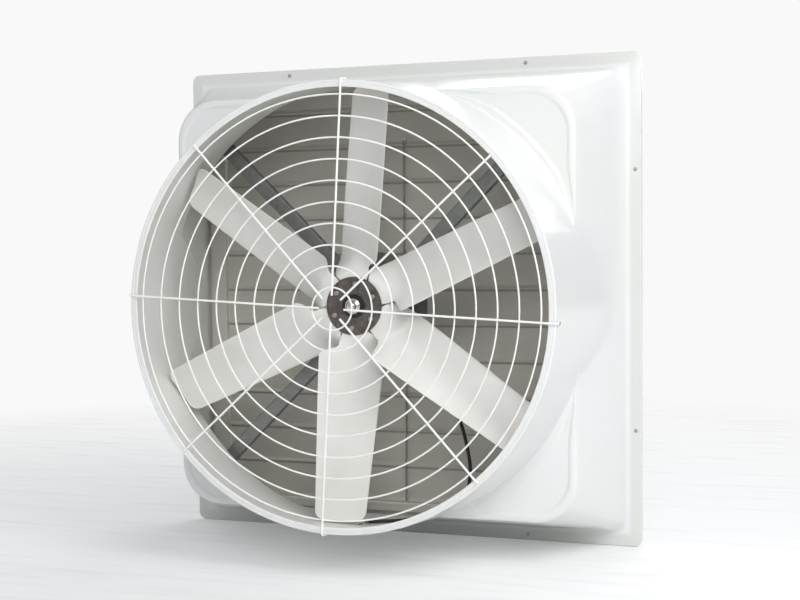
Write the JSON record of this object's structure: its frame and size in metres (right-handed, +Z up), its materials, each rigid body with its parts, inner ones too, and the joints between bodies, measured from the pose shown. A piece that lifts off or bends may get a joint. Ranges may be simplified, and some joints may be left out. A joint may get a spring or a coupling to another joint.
{
  "type": "greenhouse wall exhaust fan",
  "caption": "Square-flanged moulded wall fan with a round outlet cone, wire guard, strut-mounted motor and impeller, and a linked louvre shutter behind the flange.",
  "frame": {"origin": "on the ground line, level with the wall flange's lower edge, under the middle of the fan's width and depth", "axes": "+Z up, -Y out of the outlet, +Y into the wall, +X to the right seen from the outlet"},
  "size_m": [1.46, 0.6428, 1.46],
  "materials": {
    "gelcoat_fibreglass": "white gelcoat, glossy, slightly wavy from the mould",
    "coated_wire": "white dip-coated steel wire, satin",
    "blade_nylon": "moulded light grey glass-filled nylon, satin",
    "louvre_aluminium": "mill-finish rolled sheet, dull",
    "galvanised_steel": "hot-dip galvanised, dull grey",
    "dark_hub_paint": "dark brown-black gloss enamel",
    "motor_paint": "grey machine enamel over cast aluminium",
    "zinc_fastener": "bright zinc plate",
    "bright_steel": "turned bright steel",
    "motor_core": "lamination steel and varnished copper",
    "black_plastic": "black nylon",
    "cable_rubber": "black flexible lead"
  },
  "bodies": {
    "fan_body": {"cable_gland": "black_plastic", "cable_tie": "black_plastic", "front_bearing": "bright_steel", "front_end_shield": "motor_paint", "guard_screw_1": "zinc_fastener", "guard_screw_2": "zinc_fastener", "guard_screw_3": "zinc_fastener", "guard_screw_4": "zinc_fastener", "housing": "gelcoat_fibreglass", "motor_cable": "cable_rubber", "motor_frame": "galvanised_steel", "motor_housing": "motor_paint", "outlet_guard": "coated_wire", "rear_bearing": "bright_steel", "rear_end_shield": "motor_paint", "shutter_frame": "louvre_aluminium", "stator_core": "motor_core", "strut_foot_lower_left": "galvanised_steel", "strut_foot_lower_right": "galvanised_steel", "strut_foot_upper_left": "galvanised_steel", "strut_foot_upper_right": "galvanised_steel", "strut_lower_left": "galvanised_steel", "strut_lower_right": "galvanised_steel", "strut_upper_left": "galvanised_steel", "strut_upper_right": "galvanised_steel", "terminal_box": "motor_paint", "terminal_lid": "motor_paint"},
    "impeller": {"rotor_core": "motor_core", "motor_shaft": "bright_steel", "hub_rear_plate": "dark_hub_paint", "hub_front_plate": "dark_hub_paint", "hub_washer": "black_plastic", "shaft_cap": "bright_steel", "hub_bolt_1": "zinc_fastener", "hub_bolt_2": "zinc_fastener", "hub_bolt_3": "zinc_fastener", "hub_bolt_4": "zinc_fastener", "hub_bolt_5": "zinc_fastener", "hub_bolt_6": "zinc_fastener", "fan_blade_1": "blade_nylon", "fan_blade_2": "blade_nylon", "fan_blade_3": "blade_nylon", "fan_blade_4": "blade_nylon", "fan_blade_5": "blade_nylon", "fan_blade_6": "blade_nylon"},
    "louvre_01": {"louvre_01": "louvre_aluminium"},
    "louvre_02": {"louvre_02": "louvre_aluminium"},
    "louvre_03": {"louvre_03": "louvre_aluminium"},
    "louvre_04": {"louvre_04": "louvre_aluminium"},
    "louvre_05": {"louvre_05": "louvre_aluminium"},
    "louvre_06": {"louvre_06": "louvre_aluminium"},
    "louvre_07": {"louvre_07": "louvre_aluminium"},
    "louvre_08": {"louvre_08": "louvre_aluminium"},
    "louvre_09": {"louvre_09": "louvre_aluminium"},
    "louvre_10": {"louvre_10": "louvre_aluminium"},
    "louvre_11": {"louvre_11": "louvre_aluminium"},
    "link_rod": {"louvre_link_rod": "galvanised_steel"}
  },
  "joints": [
    {"name": "impeller_spin", "type": "hinge", "parent": "fan_body", "child": "impeller", "pos_m": [0, -0.1366, 0.73], "axis": [0, -1, 0], "continuous": true},
    {"name": "louvre_01_swing", "type": "hinge", "parent": "fan_body", "child": "louvre_01", "pos_m": [0, 0.3074, 0.213], "axis": [-1, 0, 0], "range_deg": [0, 80]},
    {"name": "louvre_02_swing", "type": "hinge", "parent": "fan_body", "child": "louvre_02", "pos_m": [0, 0.3074, 0.324], "axis": [-1, 0, 0], "range_deg": [0, 80]},
    {"name": "louvre_03_swing", "type": "hinge", "parent": "fan_body", "child": "louvre_03", "pos_m": [0, 0.3074, 0.435], "axis": [-1, 0, 0], "range_deg": [0, 80]},
    {"name": "louvre_04_swing", "type": "hinge", "parent": "fan_body", "child": "louvre_04", "pos_m": [0, 0.3074, 0.546], "axis": [-1, 0, 0], "range_deg": [0, 80]},
    {"name": "louvre_05_swing", "type": "hinge", "parent": "fan_body", "child": "louvre_05", "pos_m": [0, 0.3074, 0.657], "axis": [-1, 0, 0], "range_deg": [0, 80]},
    {"name": "louvre_06_swing", "type": "hinge", "parent": "fan_body", "child": "louvre_06", "pos_m": [0, 0.3074, 0.768], "axis": [-1, 0, 0], "range_deg": [0, 80]},
    {"name": "louvre_07_swing", "type": "hinge", "parent": "fan_body", "child": "louvre_07", "pos_m": [0, 0.3074, 0.879], "axis": [-1, 0, 0], "range_deg": [0, 80]},
    {"name": "louvre_08_swing", "type": "hinge", "parent": "fan_body", "child": "louvre_08", "pos_m": [0, 0.3074, 0.99], "axis": [-1, 0, 0], "range_deg": [0, 80]},
    {"name": "louvre_09_swing", "type": "hinge", "parent": "fan_body", "child": "louvre_09", "pos_m": [0, 0.3074, 1.101], "axis": [-1, 0, 0], "range_deg": [0, 80]},
    {"name": "louvre_10_swing", "type": "hinge", "parent": "fan_body", "child": "louvre_10", "pos_m": [0, 0.3074, 1.212], "axis": [-1, 0, 0], "range_deg": [0, 80]},
    {"name": "louvre_11_swing", "type": "hinge", "parent": "fan_body", "child": "louvre_11", "pos_m": [0, 0.3074, 1.323], "axis": [-1, 0, 0], "range_deg": [0, 80]},
    {"name": "link_rod_pivot", "type": "hinge", "parent": "louvre_06", "child": "link_rod", "pos_m": [0, 0.2954, 0.664], "axis": [-1, 0, 0], "range_deg": [-80, 0]}
  ],
  "couplings": [
    {"joint": "louvre_02_swing", "follows": "louvre_01_swing", "ratio": 1},
    {"joint": "louvre_03_swing", "follows": "louvre_01_swing", "ratio": 1},
    {"joint": "louvre_04_swing", "follows": "louvre_01_swing", "ratio": 1},
    {"joint": "louvre_05_swing", "follows": "louvre_01_swing", "ratio": 1},
    {"joint": "louvre_06_swing", "follows": "louvre_01_swing", "ratio": 1},
    {"joint": "louvre_07_swing", "follows": "louvre_01_swing", "ratio": 1},
    {"joint": "louvre_08_swing", "follows": "louvre_01_swing", "ratio": 1},
    {"joint": "louvre_09_swing", "follows": "louvre_01_swing", "ratio": 1},
    {"joint": "louvre_10_swing", "follows": "louvre_01_swing", "ratio": 1},
    {"joint": "louvre_11_swing", "follows": "louvre_01_swing", "ratio": 1},
    {"joint": "link_rod_pivot", "follows": "louvre_01_swing", "ratio": -1}
  ]
}
